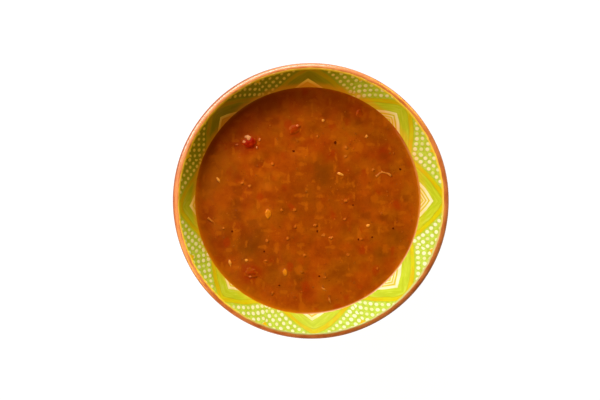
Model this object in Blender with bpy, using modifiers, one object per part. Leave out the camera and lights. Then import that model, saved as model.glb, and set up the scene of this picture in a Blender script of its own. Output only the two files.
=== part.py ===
"""A bowl of thick tomato and lentil soup.

The bowl is one turned piece of terracotta with a rounded lip and a foot ring. The soup fills it to 17 mm below
the lip. Four chunks of tomato sit in pockets of the soup, and the small things that show on its surface
(split lentils, rice, cut noodles, crumbs and flakes of herb) are one solid with it.

Metres, +Z up, origin at the middle of the foot, +X to the right and +Y up in the picture.
"""

import math
import random

import bmesh
import bpy
from mathutils import Matrix, Vector, noise

# The bowl
RIM_RADIUS = 0.080  # outside of the lip
BOWL_HEIGHT = 0.065
LIP_ROUND = 0.0021  # half the thickness of the lip
WALL_LEAN = math.radians(30.0)  # lean of the wall under the lip, away from upright
WELL_FLOOR = 0.0105  # height of the inside at the middle
WELL_FLAT = 0.046  # reach of the inside's flat start, as a curve handle
INNER_HANDLE = 0.036  # pull of the leaning wall on the inside curve
OUTER_HANDLE = 0.030
BELLY_RADIUS = 0.054  # handle of the outside curve over the foot
BELLY_HEIGHT = 0.0115
FOOT_TOP_RADIUS = 0.0362
FOOT_TOP = 0.0066
FOOT_WAIST_RADIUS = 0.0356
FOOT_WAIST = 0.0052
FOOT_RADIUS = 0.0366
FOOT_EDGE = 0.0008  # worn edge of the foot ring
FOOT_WIDTH = 0.0052
UNDERSIDE = 0.0035  # height of the base inside the foot ring
TURN_STEPS = 80
INSIDE_SEGMENTS = 12
OUTSIDE_SEGMENTS = 10
LIP_SEGMENTS = 6  # 30 degrees each, so that one corner is the top and one the widest point

# The soup
SOUP_LEVEL = 0.048
GAP = 0.0003  # least clearance between pieces that touch
CLEARANCE = 1.15 * GAP  # with room for the flat facets of both
MERGE = 0.00001  # corners closer than this are one
SOUP_RINGS = 11
WALL_START = 0.001  # the soup's side leaves its edge this far under the surface
EDGE_RISE = 0.0004  # how far the soup creeps up the wall
EDGE_REACH = 0.0025
SWELL_HEIGHT = 0.00035
SWELL_LENGTH = 0.017
RIPPLE_HEIGHT = 0.00016
RIPPLE_LENGTH = 0.0075

# Chunks of tomato: middle (x, y), half sizes (x, y, z), turn and share of the height that is under the soup
TOMATOES = {
    "tomato_1": ((-0.0349, 0.0342), (0.0062, 0.0047, 0.0028), 12.0, 0.55),
    "tomato_2": ((-0.0089, 0.0420), (0.0052, 0.0033, 0.0024), 38.0, 0.58),
    "tomato_3": ((-0.0348, -0.0424), (0.0062, 0.0046, 0.0026), 15.0, 0.66),
    "tomato_4": ((0.0299, 0.0512), (0.0044, 0.0034, 0.0024), -35.0, 0.70),
}
TOMATO_LUMP = 0.13
TOMATO_LUMP_LENGTH = 0.0045

# Small things on the surface: half sizes of each kind, and share of its height that is under the soup
BIT_KINDS = {
    "lentil": ((0.0031, 0.0020, 0.0011), 0.55),
    "rice": ((0.0024, 0.0009, 0.0008), 0.45),
    "noodle": ((0.0034, 0.0008, 0.0007), 0.55),
    "short_noodle": ((0.0021, 0.0008, 0.0007), 0.60),
    "crumb": ((0.0014, 0.0011, 0.0008), 0.50),
    "flake": ((0.0019, 0.0013, 0.0006), 0.40),
}
# Those that can be told one by one: kind, middle (x, y) in millimetres and turn in degrees
TOLD_BITS = [
    ("lentil", -24.4, -7.4, 80.0),
    ("lentil", -14.6, -42.2, 95.0),
    ("rice", 17.9, 15.6, -20.0),
    ("rice", -53.5, 11.8, -58.0),
    ("rice", -47.0, -36.7, -75.0),
    ("rice", 8.4, -52.6, -35.0),
    ("rice", 11.8, -59.0, -72.0),
    ("short_noodle", 41.2, 15.5, 25.0),
    ("noodle", 45.6, 15.9, -26.0),
    ("noodle", -57.4, -12.2, -50.0),
    ("crumb", 7.9, 47.1, 15.0),
    ("crumb", 33.6, 37.6, 60.0),
    ("crumb", 21.5, 31.1, -55.0),
    ("crumb", 21.2, 25.9, 40.0),
    ("crumb", 34.8, -15.0, 15.0),
    ("crumb", 21.0, -11.2, 45.0),
    ("crumb", 12.8, -22.2, -10.0),
    ("crumb", 8.2, -20.6, 20.0),
    ("crumb", -37.3, -35.1, 10.0),
    ("crumb", -39.6, 10.3, 30.0),
    ("crumb", -35.4, 8.4, 70.0),
    ("crumb", -4.8, -42.4, -30.0),
    ("crumb", -51.0, -16.3, 0.0),
    ("crumb", 37.8, 17.9, 20.0),
]
SCATTER_COUNT = 22
SCATTER_KINDS = ["crumb", "crumb", "crumb", "flake"]
SCATTER_RADIUS = 0.0615
SCATTER_TRIES = 4000
BIT_SPACING = 0.0062
BIT_GROWTH = 0.15  # how much bits of one kind differ in size
BIT_TILT = 8.0  # and how far they dip at one end, in degrees
BIT_SIDES = 6
BIT_RINGS = 4
SEED = 41

BOWL_CREASE = 40.0  # sharper angles than this are shaded as edges
SOUP_CREASE = 50.0
TERRACOTTA = (0.47, 0.16, 0.06)
SOUP_ORANGE = (0.36, 0.07, 0.004)
TOMATO_RED = (0.38, 0.02, 0.006)


def clear_scene():
    for thing in list(bpy.data.objects):
        bpy.data.objects.remove(thing, do_unlink=True)


def new_collection(name):
    collection = bpy.data.collections.new(name)
    bpy.context.scene.collection.children.link(collection)
    return collection


def move_to(thing, collection):
    for holder in list(thing.users_collection):
        holder.objects.unlink(thing)
    collection.objects.link(thing)


def surface(name, colour, roughness):
    """A plain Principled material."""
    material = bpy.data.materials.new(name)
    material.use_nodes = True
    shader = material.node_tree.nodes["Principled BSDF"]
    shader.inputs["Base Color"].default_value = (*colour, 1.0)
    shader.inputs["Roughness"].default_value = roughness
    shader.inputs["Metallic"].default_value = 0.0
    return material


def bezier(start, handle_1, handle_2, end, segments):
    """Points of a cubic curve in the (radius, height) plane, ends included."""
    corners = [Vector(point) for point in (start, handle_1, handle_2, end)]
    points = []
    for i in range(segments + 1):
        t = i / segments
        weights = ((1 - t) ** 3, 3 * t * (1 - t) ** 2, 3 * t * t * (1 - t), t**3)
        points.append(sum((w * c for w, c in zip(weights, corners)), Vector((0.0, 0.0))))
    return points


def wall_direction():
    return Vector((math.sin(WALL_LEAN), math.cos(WALL_LEAN)))


def lip_point(angle):
    """A point of the rounded lip, at an angle from the outward direction."""
    middle = Vector((RIM_RADIUS - LIP_ROUND, BOWL_HEIGHT - LIP_ROUND))
    return middle + LIP_ROUND * Vector((math.cos(angle), math.sin(angle)))


def inside_profile():
    """The inside of the bowl, from the middle of the floor up to the lip."""
    top = lip_point(math.pi - WALL_LEAN)
    lean_handle = top - INNER_HANDLE * wall_direction()
    return bezier((0.0, WELL_FLOOR), (WELL_FLAT, WELL_FLOOR), lean_handle, top, INSIDE_SEGMENTS)


def bowl_profile():
    """The whole section: up the inside, over the lip, down the outside and under the foot."""
    points = inside_profile()
    inner_angle = math.pi - WALL_LEAN
    outer_angle = -WALL_LEAN
    for i in range(1, LIP_SEGMENTS + 1):
        points.append(lip_point(inner_angle + (outer_angle - inner_angle) * i / LIP_SEGMENTS))
    lean_handle = points[-1] - OUTER_HANDLE * wall_direction()
    belly = (BELLY_RADIUS, BELLY_HEIGHT)
    foot_top = (FOOT_TOP_RADIUS, FOOT_TOP)
    points += bezier(points[-1], lean_handle, belly, foot_top, OUTSIDE_SEGMENTS)[1:]
    ring_inside = FOOT_RADIUS - FOOT_WIDTH
    points += [
        Vector((FOOT_WAIST_RADIUS, FOOT_WAIST)),
        Vector((FOOT_RADIUS, FOOT_EDGE)),
        Vector((FOOT_RADIUS - FOOT_EDGE, 0.0)),
        Vector((ring_inside + FOOT_EDGE, 0.0)),
        Vector((ring_inside, FOOT_EDGE)),
        Vector((ring_inside - FOOT_EDGE, UNDERSIDE)),
        Vector((0.0, UNDERSIDE)),
    ]
    return points


def turned(name, profile, collection):
    """A profile at +X turned about Z with a Screw modifier."""
    mesh = bpy.data.meshes.new(name)
    sketch = bmesh.new()
    corners = [sketch.verts.new((point.x, 0.0, point.y)) for point in profile]
    for first, second in zip(corners, corners[1:]):
        sketch.edges.new((first, second))
    sketch.to_mesh(mesh)
    sketch.free()
    thing = bpy.data.objects.new(name, mesh)
    collection.objects.link(thing)
    screw = thing.modifiers.new("turn", "SCREW")
    screw.axis = "Z"
    screw.steps = TURN_STEPS
    screw.render_steps = TURN_STEPS
    screw.use_merge_vertices = True
    screw.merge_threshold = MERGE
    return thing


def bake_modifiers(thing):
    """Keeps what the modifiers make as the object's own mesh."""
    bpy.context.view_layer.update()
    evaluated = thing.evaluated_get(bpy.context.evaluated_depsgraph_get())
    mesh = bpy.data.meshes.new_from_object(evaluated)
    thing.modifiers.clear()
    thing.data = mesh


def shade_round(thing, crease):
    thing.data.shade_smooth()
    thing.data.set_sharp_from_angle(angle=math.radians(crease))


def make_bowl(collection):
    bowl = turned("bowl", bowl_profile(), collection)
    bake_modifiers(bowl)
    bowl.data.materials.append(surface("terracotta", TERRACOTTA, 0.8))
    shade_round(bowl, BOWL_CREASE)
    return bowl


def inside_radius(height):
    """Radius of the inside of the bowl at a height."""
    for low, high in zip(inside_profile(), inside_profile()[1:]):
        if low.y <= height <= high.y and high.y > low.y:
            share = (height - low.y) / (high.y - low.y)
            return low.x + share * (high.x - low.x)
    raise ValueError("that height is not on the inside wall")


def soup_height(x, y, edge_radius):
    """The soup's surface: nearly level, with slow swells, and creeping up at the wall."""
    swell = noise.noise(Vector((x, y, 0.0)) / SWELL_LENGTH)
    ripple = noise.noise(Vector((x, y, SWELL_LENGTH)) / RIPPLE_LENGTH)
    radius = math.hypot(x, y)
    calm = min(1.0, max(0.0, (edge_radius - radius) / (2.0 * EDGE_REACH)))
    creep = math.exp(-(edge_radius - radius) / EDGE_REACH) * EDGE_RISE
    return SOUP_LEVEL + calm * (SWELL_HEIGHT * swell + RIPPLE_HEIGHT * ripple) + creep


def soup_profile(edge_radius):
    """Down from the middle of the surface to its edge, then along the wall to the floor, GAP clear of the bowl."""
    points = []
    for i in range(SOUP_RINGS + 1):
        points.append(Vector((edge_radius * i / SOUP_RINGS, SOUP_LEVEL)))
    wall = inside_profile()
    under = []
    for i, here in enumerate(wall):
        if i == 0:
            under.append(here + Vector((0.0, GAP)))
            continue
        along = (wall[min(i + 1, len(wall) - 1)] - wall[i - 1]).normalized()
        under.append(here + CLEARANCE * Vector((-along.y, along.x)))
    below = [point for point in under if point.y < SOUP_LEVEL - WALL_START]
    return points + below[::-1]


def make_soup(collection):
    """The soup without what lies on it."""
    edge_radius = inside_radius(SOUP_LEVEL) - CLEARANCE / math.cos(WALL_LEAN)
    soup = turned("soup", soup_profile(edge_radius), collection)
    bake_modifiers(soup)
    for corner in soup.data.vertices:
        if corner.co.z > SOUP_LEVEL - MERGE:
            corner.co.z = soup_height(corner.co.x, corner.co.y, edge_radius)
    return soup, edge_radius


def make_tomato(name, edge_radius, collection):
    """One soft, uneven chunk of tomato, most of it under the surface."""
    (x, y), half_sizes, turn, sunk = TOMATOES[name]
    bpy.ops.mesh.primitive_ico_sphere_add(subdivisions=3, radius=1.0)
    chunk = bpy.context.object
    chunk.name = name
    move_to(chunk, collection)
    chunk.data.transform(Matrix.Diagonal((*half_sizes, 1.0)))
    for corner in chunk.data.vertices:
        place = corner.co / TOMATO_LUMP_LENGTH + Vector((x, y, 0.0)) * 1000.0
        corner.co *= 1.0 + TOMATO_LUMP * noise.noise(place)
    level = soup_height(x, y, edge_radius)
    chunk.data.transform(Matrix.Rotation(math.radians(turn), 4, "Z"))
    chunk.location = (x, y, level - half_sizes[2] * sunk)
    chunk.data.materials.append(surface(name, TOMATO_RED, 0.35))
    chunk.data.shade_smooth()
    return chunk


def make_pocket(chunk, collection):
    """A cutter: the chunk grown by the gap, to sink its pocket in the soup."""
    mesh = chunk.data.copy()
    for corner, normal in zip(mesh.vertices, [v.normal.copy() for v in mesh.vertices]):
        corner.co += normal * CLEARANCE
    pocket = bpy.data.objects.new(chunk.name + "_pocket", mesh)
    pocket.location = chunk.location
    pocket.hide_render = True
    pocket.display_type = "WIRE"
    collection.objects.link(pocket)
    return pocket


def clear_of_tomatoes(x, y, reach):
    for (tomato_x, tomato_y), half_sizes, _turn, _sunk in TOMATOES.values():
        chunk_reach = max(half_sizes) * (1.0 + TOMATO_LUMP)
        if math.hypot(x - tomato_x, y - tomato_y) < chunk_reach + reach:
            return False
    return True


def bit_places(draw):
    """The bits that can be told one by one, then scattered ones that keep clear of them."""
    places = [(kind, x / 1000.0, y / 1000.0, turn) for kind, x, y, turn in TOLD_BITS]
    tries = 0
    while len(places) < len(TOLD_BITS) + SCATTER_COUNT and tries < SCATTER_TRIES:
        tries += 1
        radius = SCATTER_RADIUS * math.sqrt(draw.random())
        angle = draw.uniform(0.0, 2.0 * math.pi)
        x, y = radius * math.cos(angle), radius * math.sin(angle)
        near = any(math.hypot(x - px, y - py) < BIT_SPACING for _kind, px, py, _turn in places)
        if near or not clear_of_tomatoes(x, y, BIT_SPACING / 2.0):
            continue
        places.append((draw.choice(SCATTER_KINDS), x, y, draw.uniform(-90.0, 90.0)))
    return places


def make_bits(edge_radius, collection):
    draw = random.Random(SEED)
    for kind, x, y, turn in bit_places(draw):
        half_sizes, sunk = BIT_KINDS[kind]
        growth = draw.uniform(1.0 - BIT_GROWTH, 1.0 + BIT_GROWTH)
        bpy.ops.mesh.primitive_uv_sphere_add(segments=BIT_SIDES, ring_count=BIT_RINGS, radius=1.0)
        bit = bpy.context.object
        move_to(bit, collection)
        tilt = draw.uniform(-BIT_TILT, BIT_TILT)
        bit.data.transform(Matrix.Diagonal((*[half * growth for half in half_sizes], 1.0)))
        bit.data.transform(Matrix.Rotation(math.radians(tilt), 4, "Y"))
        bit.data.transform(Matrix.Rotation(math.radians(turn), 4, "Z"))
        level = soup_height(x, y, edge_radius)
        bit.data.transform(Matrix.Translation((x, y, level - half_sizes[2] * sunk)))


def fuse(thing, collection):
    """Joins every piece of a collection to the thing, and removes the collection's pieces."""
    union = thing.modifiers.new("fuse", "BOOLEAN")
    union.operation = "UNION"
    union.operand_type = "COLLECTION"
    union.collection = collection
    union.solver = "EXACT"
    bake_modifiers(thing)
    for piece in list(collection.objects):
        bpy.data.objects.remove(piece, do_unlink=True)


def cut(thing, cutter):
    difference = thing.modifiers.new("pocket", "BOOLEAN")
    difference.operation = "DIFFERENCE"
    difference.object = cutter
    difference.solver = "EXACT"
    bake_modifiers(thing)


def build():
    clear_scene()
    parts = new_collection("bowl_of_soup")
    cutters = new_collection("cutters")
    bits = new_collection("bits")
    make_bowl(parts)
    soup, edge_radius = make_soup(parts)
    make_bits(edge_radius, bits)
    fuse(soup, bits)
    bpy.data.collections.remove(bits)
    for name in TOMATOES:
        chunk = make_tomato(name, edge_radius, parts)
        cut(soup, make_pocket(chunk, cutters))
    soup.data.materials.clear()
    soup.data.materials.append(surface("soup", SOUP_ORANGE, 0.35))
    shade_round(soup, SOUP_CREASE)


build()
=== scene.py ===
import math
import random

import bpy
from mathutils import Matrix, Vector, noise
from mathutils.geometry import interpolate_bezier


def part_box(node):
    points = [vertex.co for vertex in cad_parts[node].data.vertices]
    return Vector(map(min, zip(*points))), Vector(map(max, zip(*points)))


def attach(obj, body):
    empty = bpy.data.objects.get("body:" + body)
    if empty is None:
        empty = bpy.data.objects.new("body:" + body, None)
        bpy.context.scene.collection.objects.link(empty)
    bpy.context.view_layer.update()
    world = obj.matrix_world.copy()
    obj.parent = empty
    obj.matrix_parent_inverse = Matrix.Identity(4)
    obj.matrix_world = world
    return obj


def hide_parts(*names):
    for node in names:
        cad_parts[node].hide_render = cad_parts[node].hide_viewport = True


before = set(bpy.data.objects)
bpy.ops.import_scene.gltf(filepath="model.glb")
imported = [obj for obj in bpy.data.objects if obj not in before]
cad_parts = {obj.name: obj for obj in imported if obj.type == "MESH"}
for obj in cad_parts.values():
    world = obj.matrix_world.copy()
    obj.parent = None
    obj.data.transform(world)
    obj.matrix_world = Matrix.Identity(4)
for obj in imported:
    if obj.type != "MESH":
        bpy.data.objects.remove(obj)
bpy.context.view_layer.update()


# The bowl.
# Red earthenware, thrown on a wheel as one piece: a flared wall, a rounded lip and a foot ring trimmed with a
# tool. The inside is painted in coloured glazes and fired; the lip and the outside are left as bare clay.

mm = 0.001
_bowl_low, bowl_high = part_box("bowl")
rim_radius = bowl_high.x
bowl_height = bowl_high.z
lip_round = 2.1 * mm
lip_outside = 2.9 * mm
lip_inside = 1.18 * mm
lip_start = math.radians(134.2)  # where the lip's curve takes over from the leaning wall
lip_steps = 20
wall_lean = math.radians(30.0)
wall_inside_run = 36.0 * mm  # how long the wall keeps to its lean before it curves into the well
wall_outside_run = 30.0 * mm
well_floor = 10.5 * mm
well_run = 46.0 * mm
underside = 3.5 * mm
finger_depth = 0.16 * mm
finger_rings = 9.0
belly = Vector((54.0 * mm, 0.0, 11.5 * mm))
foot_top = Vector((36.2 * mm, 0.0, 6.6 * mm))
foot_waist = Vector((35.6 * mm, 0.0, 5.2 * mm))
foot_radius = 36.6 * mm
foot_width = 5.2 * mm
foot_edge = 0.8 * mm
bowl_steps = 288


def lip_point(angle):
    """A point of the rounded lip, at an angle from the outward direction. It is fuller outside its crest."""
    width = lip_outside if math.cos(angle) > 0.0 else lip_inside
    across = rim_radius - lip_outside + width * math.cos(angle)
    up = bowl_height - lip_round + lip_round * math.sin(angle)
    return Vector((across, 0.0, up))


def bowl_inside(steps):
    """The inside in section, from the middle of the well up to the lip."""
    top = lip_point(lip_start)
    lean = Vector((math.sin(wall_lean), 0.0, math.cos(wall_lean)))
    well = Vector((0.0, 0.0, well_floor))
    well_side = well + Vector((well_run, 0.0, 0.0))
    return interpolate_bezier(well, well_side, top - lean * wall_inside_run, top, steps)


def bowl_outside(steps):
    """The outside in section, from the lip down to the top of the foot, with faint rings from the fingers."""
    top = lip_point(-wall_lean)
    lean = Vector((math.sin(wall_lean), 0.0, math.cos(wall_lean)))
    points = interpolate_bezier(top, top - lean * wall_outside_run, belly, foot_top, steps)
    for i, point in enumerate(points):
        share = i / (steps - 1)
        fade = math.sin(math.pi * share) ** 0.5
        drift = 2.0 * math.sin(7.0 * share)
        point.x += finger_depth * fade * math.sin(2.0 * math.pi * finger_rings * share + drift)
    return points


lip_turn = -wall_lean - lip_start
lip = [lip_point(lip_start + lip_turn * i / lip_steps) for i in range(1, lip_steps)]
ring_inside = foot_radius - foot_width
foot = [
    foot_waist,
    Vector((foot_radius, 0.0, foot_edge)),
    Vector((foot_radius - foot_edge, 0.0, 0.0)),
    Vector((ring_inside + foot_edge, 0.0, 0.0)),
    Vector((ring_inside, 0.0, foot_edge)),
    Vector((ring_inside - foot_edge, 0.0, underside)),
    Vector((0.0, 0.0, underside)),
]
section = bowl_inside(56) + lip + bowl_outside(60) + foot


def start(add, **settings):
    """A new primitive, with nothing else selected."""
    bpy.ops.object.select_all(action="DESELECT")
    add(**settings)
    return bpy.context.object


bowl = start(bpy.ops.mesh.primitive_plane_add, size=mm)
bowl.name = "painted_bowl"
bpy.ops.object.mode_set(mode="EDIT")
bpy.ops.mesh.merge(type="CENTER")
bpy.ops.transform.translate(value=section[0])
for here, there in zip(section, section[1:]):
    bpy.ops.mesh.extrude_vertices_move(TRANSFORM_OT_translate={"value": there - here})
bpy.ops.mesh.select_all(action="SELECT")
bpy.ops.mesh.spin(steps=bowl_steps, angle=2.0 * math.pi, center=(0.0, 0.0, 0.0), axis=(0.0, 0.0, 1.0))
bpy.ops.mesh.select_all(action="SELECT")
bpy.ops.mesh.remove_doubles(threshold=0.001 * mm)  # the points on the axis
bpy.ops.mesh.normals_make_consistent(inside=False)
bpy.ops.object.mode_set(mode="OBJECT")


def ramp(value, low, high):
    """0 up to low, 1 from high on and a straight climb between them."""
    return min(1.0, max(0.0, (value - low) / (high - low)))


# The hand leaves the wall a little off centre and uneven and the lip a little oval; the foot stays flat.
wall_shift = Vector((-0.90, -0.42, 0.0)) * mm
shift_from = 14.0 * mm
oval_depth = 0.28 * mm
oval_bearing = math.radians(155.0)
lip_shrink = 0.16 * mm
lip_zone = 50.0 * mm, 62.0 * mm  # the heights between which the wall takes on the lip's oval
dent_depth, dent_length = 0.16 * mm, 34.0 * mm
foot_zone = 6.0 * mm  # the height up to which the foot stays true


def off_centre(height):
    """How far the wall has shifted at a height: most half-way up, nothing at the lip and the foot."""
    return wall_shift * math.sin(math.pi * ramp(height, shift_from, bowl_height)) ** 2


for corner in bowl.data.vertices:
    if corner.co.z > foot_zone:
        out = Vector((corner.co.x, corner.co.y, 0.0)).normalized()
        turn = math.atan2(corner.co.y, corner.co.x)
        oval = oval_depth * math.cos(2.0 * (turn - oval_bearing)) - lip_shrink
        corner.co += out * ramp(corner.co.z, *lip_zone) * oval + off_centre(corner.co.z)
        corner.co += out * dent_depth * (noise.noise(corner.co / dent_length) - 0.25)
bpy.ops.object.shade_smooth_by_angle(angle=math.radians(38.0))


class Reading:
    """What a node gives out, so that sums and products of nodes can be written as sums and products."""

    def __init__(self, finish, socket):
        self.finish = finish
        self.socket = socket

    def maths(self, operation, *others):
        return self.finish.node("ShaderNodeMath", self, *others, operation=operation)

    def __add__(self, other):
        return self.maths("ADD", other)

    def __sub__(self, other):
        return self.maths("SUBTRACT", other)

    def __mul__(self, other):
        return self.maths("MULTIPLY", other)

    def eased(self, low, high):
        """0 at low and 1 at high, with a smooth step between them."""
        smooth = {"interpolation_type": "SMOOTHSTEP"}
        return self.finish.node("ShaderNodeMapRange", self, low, high, 0.0, 1.0, **smooth)

    def towards(self, degrees):
        """Of a bearing: 1 on that side of the bowl, -1 on the opposite side."""
        return (self - math.radians(degrees)).maths("COSINE")


class Finish:
    """The nodes of a material or of the surround. Lengths are in millimetres and colours in linear light."""

    def __init__(self, name, kind=bpy.data.materials, shader="Principled BSDF"):
        self.look = kind.new(name)
        self.look.use_nodes = True
        self.tree = self.look.node_tree
        self.shader = self.tree.nodes[shader]

    def feed(self, socket, value):
        if isinstance(value, Reading):
            self.tree.links.new(value.socket, socket)
        elif isinstance(value, tuple) and socket.type == "RGBA":
            socket.default_value = (*value, 1.0)
        else:
            socket.default_value = value

    def node(self, kind, *values, output=0, named=None, **settings):
        """A node with its settings, its first inputs in order and any others by name."""
        node = self.tree.nodes.new(kind)
        for name, value in settings.items():
            setattr(node, name, value)
        for socket, value in zip(node.inputs, values):
            self.feed(socket, value)
        for name, value in (named or {}).items():
            self.feed(node.inputs[name], value)
        return Reading(self, node.outputs[output])

    def place(self, stretch=(1.0, 1.0, 1.0)):
        """Where a point is on the piece."""
        here = self.node("ShaderNodeTexCoord", output="Object")
        return self.node("ShaderNodeMapping", here, named={"Scale": Vector(stretch) / mm})

    def parts(self, vector):
        """The x, y and z of a place."""
        split = self.node("ShaderNodeSeparateXYZ", vector).socket.node
        return [Reading(self, split.outputs[axis]) for axis in "XYZ"]

    def clouds(self, place, size, detail=2.0, output="Fac"):
        """Soft random patches about as wide as size, around 0.5."""
        named = {"Vector": place, "Scale": 1.0 / size, "Detail": detail}
        return self.node("ShaderNodeTexNoise", named=named, output=output)

    def swirl(self, place, size, strength):
        """Soft random shifts, to be added to a place."""
        drift = self.clouds(place, size, output="Color")
        return self.node("ShaderNodeVectorMath", drift, named={"Scale": strength}, operation="SCALE")

    def kept(self, name):
        """A number that the piece keeps with each of its corners."""
        return self.node("ShaderNodeAttribute", attribute_name=name, output="Fac")

    def mix(self, share, first, second, blend="MIX"):
        return self.node("ShaderNodeMixRGB", share, first, second, blend_type=blend)

    def relief(self, height, depth, below=None):
        """A bump whose height runs over depth millimetres, on top of another."""
        named = {"Height": height, "Distance": depth * mm, "Strength": 1.0}
        if below:
            named["Normal"] = below
        return self.node("ShaderNodeBump", named=named)

    def give(self, looks):
        """Sets inputs of the shader by their names."""
        for name, value in looks.items():
            self.feed(self.shader.inputs[name], value)

    def lay(self, colour, roughness, normal, shine=0.5):
        self.give({"Base Color": colour, "Roughness": roughness})
        self.give({"Normal": normal, "Specular IOR Level": shine})


red_clay, orange_clay = (0.74, 0.240, 0.066), (0.88, 0.335, 0.110)
clay_streak = (0.60, 0.150, 0.036)
clay_grit = (0.40, 0.085, 0.026)
clay_chalk = (0.84, 0.34, 0.14)
# Colours of painted light on the lip: its highlight, the shade inside it and the shade round its outside
painted_lip_highlight = (0.94, 0.50, 0.27)
painted_lip_shade = (0.46, 0.17, 0.035)
painted_outer_shade = (0.34, 0.066, 0.018)
grit_size = 0.55
wheel_stretch = (0.25, 0.25, 1.6)  # draws a pattern out into rings round the bowl


def fired_clay(finish):
    """Bare earthenware's colour and roughness, with painted light on the lip: a painted highlight on its top
    and painted shade inside it, both on the side of the light, and painted shade round its outside.
    """
    place = finish.place()
    colour = finish.mix(finish.clouds(place, 14.0, 3.0), red_clay, orange_clay)
    streaks = finish.clouds(finish.place(wheel_stretch), 2.2).eased(0.35, 0.75)
    colour = finish.mix(streaks, colour, clay_streak)
    grit = finish.clouds(place, grit_size)
    colour = finish.mix(grit.eased(0.62, 0.74), colour, clay_grit)
    colour = finish.mix(grit.eased(0.36, 0.27), colour, clay_chalk)
    across, up, _z = finish.parts(place)
    outward = (across * across + up * up).maths("SQRT")
    bearing = up.maths("ARCTAN2", across)
    # Painted highlight on top of the lip, on the side of the light
    lip_highlight = bearing.towards(118.0).eased(0.35, 0.90) * outward.eased(77.1, 78.0)
    colour = finish.mix(lip_highlight * 0.40, colour, painted_lip_highlight)
    # Painted shade inside the lip on the side of the light, where it faces away from it
    stain_and_shade = bearing.towards(95.0).eased(0.20, 0.80) * outward.eased(77.6, 76.9)
    colour = finish.mix(stain_and_shade * 0.55, colour, painted_lip_shade)
    # Painted shade round the outside of the lip, strongest on the side of the light
    outer_shade = bearing.towards(120.0) * 0.25 + 0.65
    colour = finish.mix(outward.eased(78.9, 79.7) * outer_shade, colour, painted_outer_shade)
    return colour, finish.clouds(place, 5.0) * 0.10 + 0.17


clay = Finish("bare_clay")
rings = clay.relief(clay.clouds(clay.place(wheel_stretch), 0.9), 0.10)
clay.lay(*fired_clay(clay), clay.relief(clay.clouds(clay.place(), grit_size), 0.07, rings), shine=1.0)

# The painting: an eight-pointed star, drawn as one chevron on each of eight axes. Its bands are straight on
# the leaning wall: "along" runs up it, "aside" round it, and "chevron" grows outward across an arm's bands.
glaze = Finish("painted_glaze")
bright_white, dull_white = (0.96, 0.93, 0.66), (0.86, 0.78, 0.38)
# White as painted in the shade: lighter at an arm's outer bands, darker towards its middle
rim_white_in_shade, core_white_in_shade = (1.0, 0.66, 0.11), (0.80, 0.36, 0.03)
yellow_glaze, gold_glaze = (0.64, 0.66, 0.004), (0.66, 0.53, 0.003)
lime_glaze, leaf_glaze = (0.57, 0.72, 0.034), (0.47, 0.62, 0.018)
thin_lime = (0.58, 0.68, 0.11)
field_green, field_lime = (0.45, 0.63, 0.035), (0.53, 0.76, 0.085)
# The field and its dots as painted in the shade
shaded_field = (0.24, 0.28, 0.008)
bright_dot, dull_dot, shaded_dot = (0.90, 0.95, 0.66), (0.76, 0.86, 0.40), (0.82, 0.68, 0.15)
dot_shadow = (0.30, 0.50, 0.020)
wedge_gold = (0.80, 0.55, 0.003)
outline_green = (0.34, 0.37, 0.01)
soup_film_and_glow = (0.90, 0.35, 0.02)
near_edge_highlight, far_edge_highlight = (0.58, 0.59, 0.21), (0.95, 0.72, 0.065)
shaded_lime, shaded_yellow = (0.52, 0.40, 0.24), (0.66, 0.52, 0.40)  # painted shade: these multiply the lime and the yellow on the side away from the light

# Its measures, in millimetres but for the slope of the bands and the angle between two arms
apex = 71.4
arm_slope = 0.505
painted_radius = 71.0
sector = math.radians(45.0)
brush_shake = (0.8, 0.8, 0.8)
yellow_from = 5.0
field_from = 7.35
top_yellow_from = 75.9
wedge_from = 74.5
dot_step = 3.24
row_step = 3.12
first_row = 9.05
first_column = -0.6
dot_size, dot_variety, dot_taper = 1.10, 0.16, 0.03
dot_width, dot_height = 1.22, 0.98
star_turn, star_shift_turn = math.radians(1.11), math.radians(1.19)
star_right, star_up = 0.61, 0.33
arm_lean = 4.0
glaze_edge = 76.85  # where the glaze stops short of the lip's crest

true_place = glaze.place()
shaky = glaze.clouds(true_place, 8.0, 0.5, output="Color")
shake = glaze.node("ShaderNodeVectorMath", shaky, (0.5, 0.5, 0.5), operation="SUBTRACT")
shake = glaze.node("ShaderNodeVectorMath", shake, brush_shake, operation="MULTIPLY")
brushed = glaze.node("ShaderNodeVectorMath", true_place, shake, operation="ADD")
x, y, _z = glaze.parts(brushed)
radius = (x * x + y * y).maths("SQRT")
angle = y.maths("ARCTAN2", x)
# The painter set the star a little off the bowl's middle and turned.
turned = angle - angle.towards(167.0) * star_shift_turn - star_turn
reach = angle.maths("COSINE") * star_right + angle.maths("SINE") * star_up
# No two of its arms are quite as long as each other.
uneven_arms = (angle * 2.0).towards(-55.5) * 0.49 - (angle * 4.0).maths("COSINE") * 0.29
reach = reach + uneven_arms - 0.14
from_arm = turned.maths("WRAP", sector / 2.0, -sector / 2.0)
fold = from_arm.maths("ABSOLUTE")
# Most of the arms lean a little to one side.
along = radius - reach - from_arm * (angle.towards(-65.0) * arm_lean)
aside = fold * painted_radius
chevron = along + aside * arm_slope - apex
# The brush rounds the corner of the outer bands.
blunt = (aside * aside + 5.0).maths("SQRT")
band = along + blunt * arm_slope - apex

# Bands of the star's arms
streaks = glaze.node("ShaderNodeCombineXYZ", chevron * 0.9, aside * 0.16, angle * 3.0)
stroke = glaze.clouds(streaks, 1.0, 3.0)
lime = glaze.mix(stroke.eased(0.34, 0.66), leaf_glaze, lime_glaze)
pale_lime = glaze.mix(stroke.eased(0.56, 0.72) * 0.6, lime, thin_lime)
yellow = glaze.mix(stroke.eased(0.36, 0.62), gold_glaze, yellow_glaze)
white = glaze.mix(stroke.eased(0.30, 0.60), dull_white, bright_white)
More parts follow.
